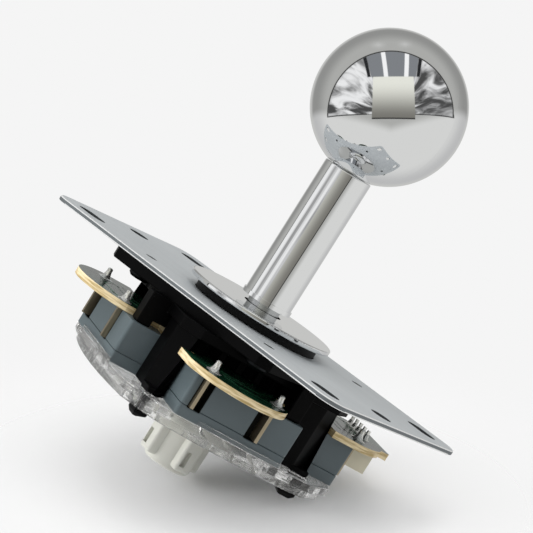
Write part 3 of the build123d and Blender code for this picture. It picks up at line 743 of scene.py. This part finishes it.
def strip(value, middle, half, blur=EDGE):
    """1 within half a width of the middle, with soft edges."""
    return 1 - tent.smooth((value - middle).size(), half - blur / 2, half + blur / 2)


above_floor = ball_y - OPENING_FLOOR
from_middle = (ball_x * ball_x + above_floor * above_floor) ** 0.5
above_table = tent.smooth(ball_y, OPENING_FLOOR - EDGE, OPENING_FLOOR)
opening = (1 - tent.smooth(from_middle, OPENING_R - EDGE, OPENING_R)) * above_table
wire = strip(from_middle, OPENING_R, 0.007) * above_table
sill = strip(ball_y, OPENING_FLOOR, 0.006) * strip(ball_x.size(), 0.54, 0.24)
print("opening", OPENING_R * 2, "ball radii wide")

# %% The wall, the roof band and the light strips
WALL_X, WALL_HALF, ROOF_X, LIGHTS_X = 0.03, 0.27, 0.035, 0.065
slant = above_floor * 0.16
wall = strip(ball_x, WALL_X, WALL_HALF - slant * 0.3)
wall_foot = strip(ball_y, -0.165, 0.008) * strip(ball_x, WALL_X, WALL_HALF)
wall_low = strip(ball_y, -0.135, 0.03) * strip(ball_x, WALL_X, WALL_HALF)
upper = tent.smooth(ball_y, 0.345, 0.36)
roof_band = strip(ball_x, ROOF_X, 0.2 + slant)
lights = strip((ball_x - LIGHTS_X).size() - slant * 0.45, 0.09, 0.026)
posts = strip((ball_x - ROOF_X).size() - slant, 0.225, 0.02)
print("wall", WALL_HALF * 2, "ball radii wide at its foot")

# %% Crumpled silver sheets
around = above_floor.maths("ARCTAN2", above_floor, ball_x)
folds = tent.node("ShaderNodeCombineXYZ", {}, {0: around * 2.0, 1: from_middle * 1.3})
creases = {"Vector": folds, "Scale": 1.9, "Detail": 4.0, "Distortion": 1.2}
crumple = tent.node("ShaderNodeTexNoise", {}, creases)
silver = tent.mix(tent.smooth(crumple, 0.38, 0.66), tone("4E4E4E"), tone("F6F6F6"))
print("nodes so far:", len(tent.tree.nodes))

# %% Cloth overhead and the table below
cloth = tent.mix(tent.smooth(ball_r, 0.78, 0.93), tone("B4B4B1"), tone("969694"))
table = tent.mix(tent.smooth(ball_r, 0.78, 0.96), tone("DEDEDC"), tone("C2C2C2"))
horizon = ball_y - (ball_x.size() - OPENING_R) * 0.3
room = tent.mix(tent.smooth(horizon, OPENING_FLOOR - 0.02, OPENING_FLOOR + 0.12), table, cloth)
room = tent.mix(tent.smooth(ball_r, 0.955, 0.99), room, tone("C8C8C6"))
glow = strip((ball_x - ROOF_X).size(), 0.16, 0.02, 0.22) * strip(ball_y, 0.76, 0.0, 0.16)
room = tent.mix(glow * 0.8, room, tone("FFFFFF"))
print("nodes so far:", len(tent.tree.nodes))

# %% Everything in its place
cream = tent.mix(tent.smooth(ball_y, -0.16, 0.3), tone("7E7C76"), tone("F0F0E6"))
inside = tent.mix(wall, silver, cream)
top = tent.mix(roof_band, inside, tone("85888C"))
top = tent.mix(lights, top, tone("FFFFFF"))
top = tent.mix(posts, top, tone("2A2B2D"))
inside = tent.mix(upper, inside, top)
room = tent.mix(opening, room, inside)
room = tent.mix(wall_low, room, cream)
lines = wire.maths("MAXIMUM", wire, sill)
room = tent.mix(lines.maths("MAXIMUM", lines, wall_foot), room, tone("262626"))
print("nodes so far:", len(tent.tree.nodes))

# %% Which rays see what
BACKDROP = tone("F5F5F5")
DIFFUSE_LEVEL = 0.7
RAY_KINDS = ("Camera", "Glossy", "Transmission")
rays = {kind: tent.node("ShaderNodeLightPath", {}, {}, f"Is {kind} Ray") for kind in RAY_KINDS}
plain = rays["Camera"].maths("MAXIMUM", rays["Camera"], rays["Transmission"])
seen = tent.mix(plain, room, BACKDROP)
lit = plain.maths("MAXIMUM", plain, rays["Glossy"])
seen = tent.mix(lit, (*(DIFFUSE_LEVEL,) * 3, 1.0), seen)
tent.plug(world.node_tree.nodes["Background"].inputs["Color"], seen)
print("world nodes:", len(world.node_tree.nodes))

# %% [markdown]
# ### Lamps
# Two large square lamps give the soft light of the room: one hangs over the picture, and one stands
# at its left and reaches in under the plate. Mirrored rays miss them too, because the tent has its
# own light strips.

# %% Lamps
def soft_lamp(name, direction, distance, size, power):
    """A square lamp that stands off in a direction and faces the object."""
    lamp = bpy.data.objects.new(name, bpy.data.lights.new(name, "AREA"))
    bpy.context.collection.objects.link(lamp)
    lamp.data.size = size
    lamp.data.energy = power
    lamp.visible_glossy = False
    lamp.location = direction.normalized() * distance
    lamp.rotation_mode = "QUATERNION"
    lamp.rotation_quaternion = (-direction).to_track_quat("-Z", "Y")
    print(name, "stands", distance, "m away")


ROOF_SIDE = CAMERA_UP + CAMERA_BACK * 0.2 + CAMERA_RIGHT * 0.15
LEFT_SIDE = CAMERA_BACK * 0.2 + CAMERA_UP * 0.35 - CAMERA_RIGHT * 1.6
soft_lamp("roof_lamp", ROOF_SIDE, distance=0.9, size=0.7, power=3.5)
soft_lamp("side_lamp", LEFT_SIDE, distance=0.8, size=0.6, power=4.4)
bpy.context.scene.view_settings.view_transform = "Standard"
